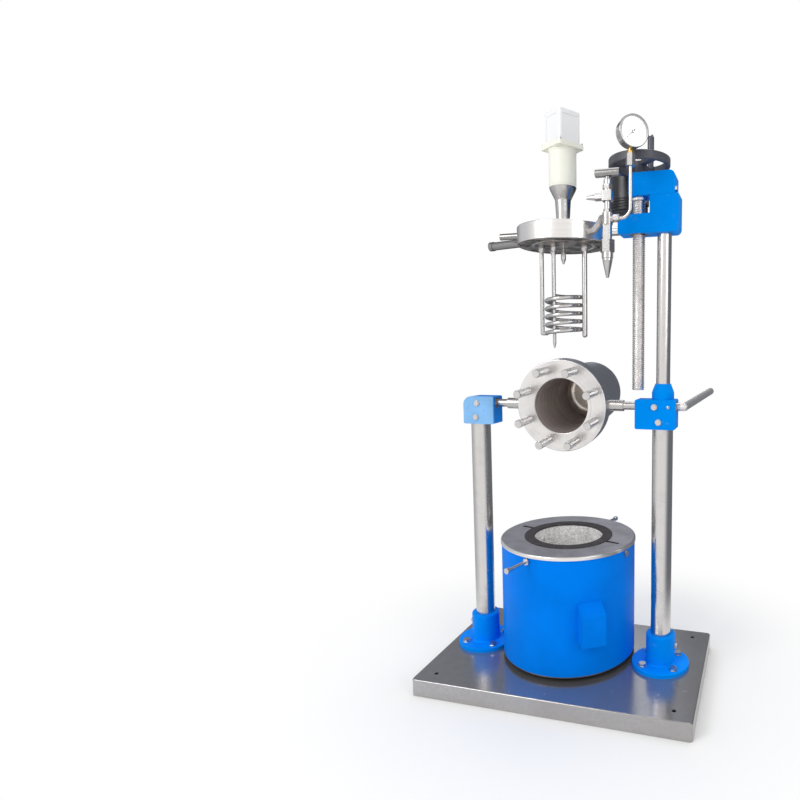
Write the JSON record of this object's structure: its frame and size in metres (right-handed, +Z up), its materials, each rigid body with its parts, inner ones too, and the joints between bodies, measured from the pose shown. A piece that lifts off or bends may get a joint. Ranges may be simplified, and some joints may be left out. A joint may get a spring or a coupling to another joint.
{
  "type": "high pressure reactor",
  "caption": "Stirred high pressure reactor on a stand, with a tipping vessel, a round furnace below it and a lid raised by a hand wheel and lead screw.",
  "frame": {"origin": "middle of the base's underside, on the floor", "axes": "+X to the right along the columns, +Y to the back, away from the vessel's mouth, +Z up"},
  "size_m": [0.81, 0.625, 1.664],
  "materials": {
    "blue_paint": "gloss",
    "base_steel": "brushed",
    "frame_steel": "mill",
    "column_steel": "polished",
    "screw_steel": "turned",
    "fastener_steel": "bright",
    "bush_bronze": "turned",
    "lid_steel": "satin",
    "vessel_steel": "turned",
    "tube_steel": "polished",
    "valve_steel": "satin",
    "black_plastic": "satin",
    "grip_plastic": "satin",
    "coupling_cream": "satin",
    "motor_white": "satin",
    "gauge_chrome": "polished",
    "gauge_brass": "turned",
    "dial_white": "matt",
    "gauge_glass": "clear",
    "cover_steel": "brushed",
    "collar_dark": "matt",
    "ceramic": "matt",
    "heater_wire": "oxidised"
  },
  "bodies": {
    "stand": {"base_tray": "base_steel", "base_frame": "frame_steel", "left_socket": "blue_paint", "right_socket": "blue_paint", "socket_screws": "fastener_steel", "left_column": "column_steel", "right_column": "column_steel", "guide_rod": "column_steel", "step_collar": "blue_paint", "left_clamp_block": "blue_paint", "right_clamp_block": "blue_paint", "clamp_screws": "fastener_steel", "trunnion_bushes": "bush_bronze", "head_block": "blue_paint", "screw_bearing": "bush_bronze", "rear_housing": "black_plastic", "furnace_shell": "blue_paint", "furnace_cover": "cover_steel", "furnace_collar": "collar_dark", "furnace_lining": "ceramic", "heating_rings": "heater_wire", "furnace_probe": "ceramic", "furnace_bottom": "frame_steel", "furnace_pins": "fastener_steel", "junction_box": "blue_paint"},
    "lift_carriage": {"carriage_block": "blue_paint", "lift_nut": "bush_bronze", "lid_arm": "lid_steel", "lid": "lid_steel", "lid_bars": "tube_steel", "seal_housing": "valve_steel", "coupling_housing": "coupling_cream", "motor_flange": "coupling_cream", "motor_cover": "motor_white", "cooling_coil": "tube_steel", "dip_tube": "tube_steel", "thermowell": "tube_steel", "branch_pipe": "valve_steel", "manifold_cross": "valve_steel", "valve_body": "valve_steel", "vent_nozzle": "valve_steel", "relief_valve": "valve_steel", "gauge_tube": "tube_steel", "gauge_fitting": "valve_steel", "gauge_stem": "gauge_brass", "gauge_case": "gauge_chrome", "gauge_dial": "dial_white", "gauge_glass": "gauge_glass"},
    "screw_and_wheel": {"lead_screw": "screw_steel", "handwheel": "black_plastic", "wheel_nut": "fastener_steel", "crank_pin": "fastener_steel"},
    "tilting_vessel": {"vessel": "vessel_steel", "vessel_studs": "fastener_steel", "trunnion_shafts": "tube_steel", "tilt_handle": "tube_steel"},
    "crank_grip": {"crank_grip": "grip_plastic"},
    "valve_spindle": {"valve_handle": "valve_steel"},
    "stirrer": {"stirrer_shaft": "tube_steel"},
    "gauge_needle": {"gauge_pointer": "black_plastic"}
  },
  "joints": [
    {"name": "vessel_tilt", "type": "hinge", "parent": "stand", "child": "tilting_vessel", "pos_m": [-0.023, 0.017, 0.831], "axis": [1, 0, 0], "range_deg": [-94, 26]},
    {"name": "lid_lift", "type": "slide", "parent": "stand", "child": "lift_carriage", "axis": [0, 0, 1], "range_m": [-0.03, 0]},
    {"name": "handwheel_spin", "type": "hinge", "parent": "stand", "child": "screw_and_wheel", "pos_m": [0.202, 0.017, 1.5], "axis": [0, 0, 1], "range_deg": [0, 1800]},
    {"name": "crank_grip_spin", "type": "hinge", "parent": "screw_and_wheel", "child": "crank_grip", "pos_m": [0.22002, 0.08929, 1.56], "axis": [0, 0, 1], "continuous": true},
    {"name": "valve_turn", "type": "hinge", "parent": "lift_carriage", "child": "valve_spindle", "pos_m": [0.141, -0.098, 1.45], "axis": [0, 0, 1], "range_deg": [0, 1080]},
    {"name": "stirrer_spin", "type": "hinge", "parent": "lift_carriage", "child": "stirrer", "pos_m": [-0.023, 0.017, 1.3], "axis": [0, 0, 1], "continuous": true},
    {"name": "gauge_pointer_turn", "type": "hinge", "parent": "lift_carriage", "child": "gauge_needle", "pos_m": [0.203, -0.098, 1.546], "axis": [0.6018, -0.7986, 0], "range_deg": [-270, 0], "stiffness_Nm_per_rad": 0.001}
  ],
  "couplings": [
    {"joint": "handwheel_spin", "follows": "lid_lift", "rad_per_m": -1047.2}
  ]
}
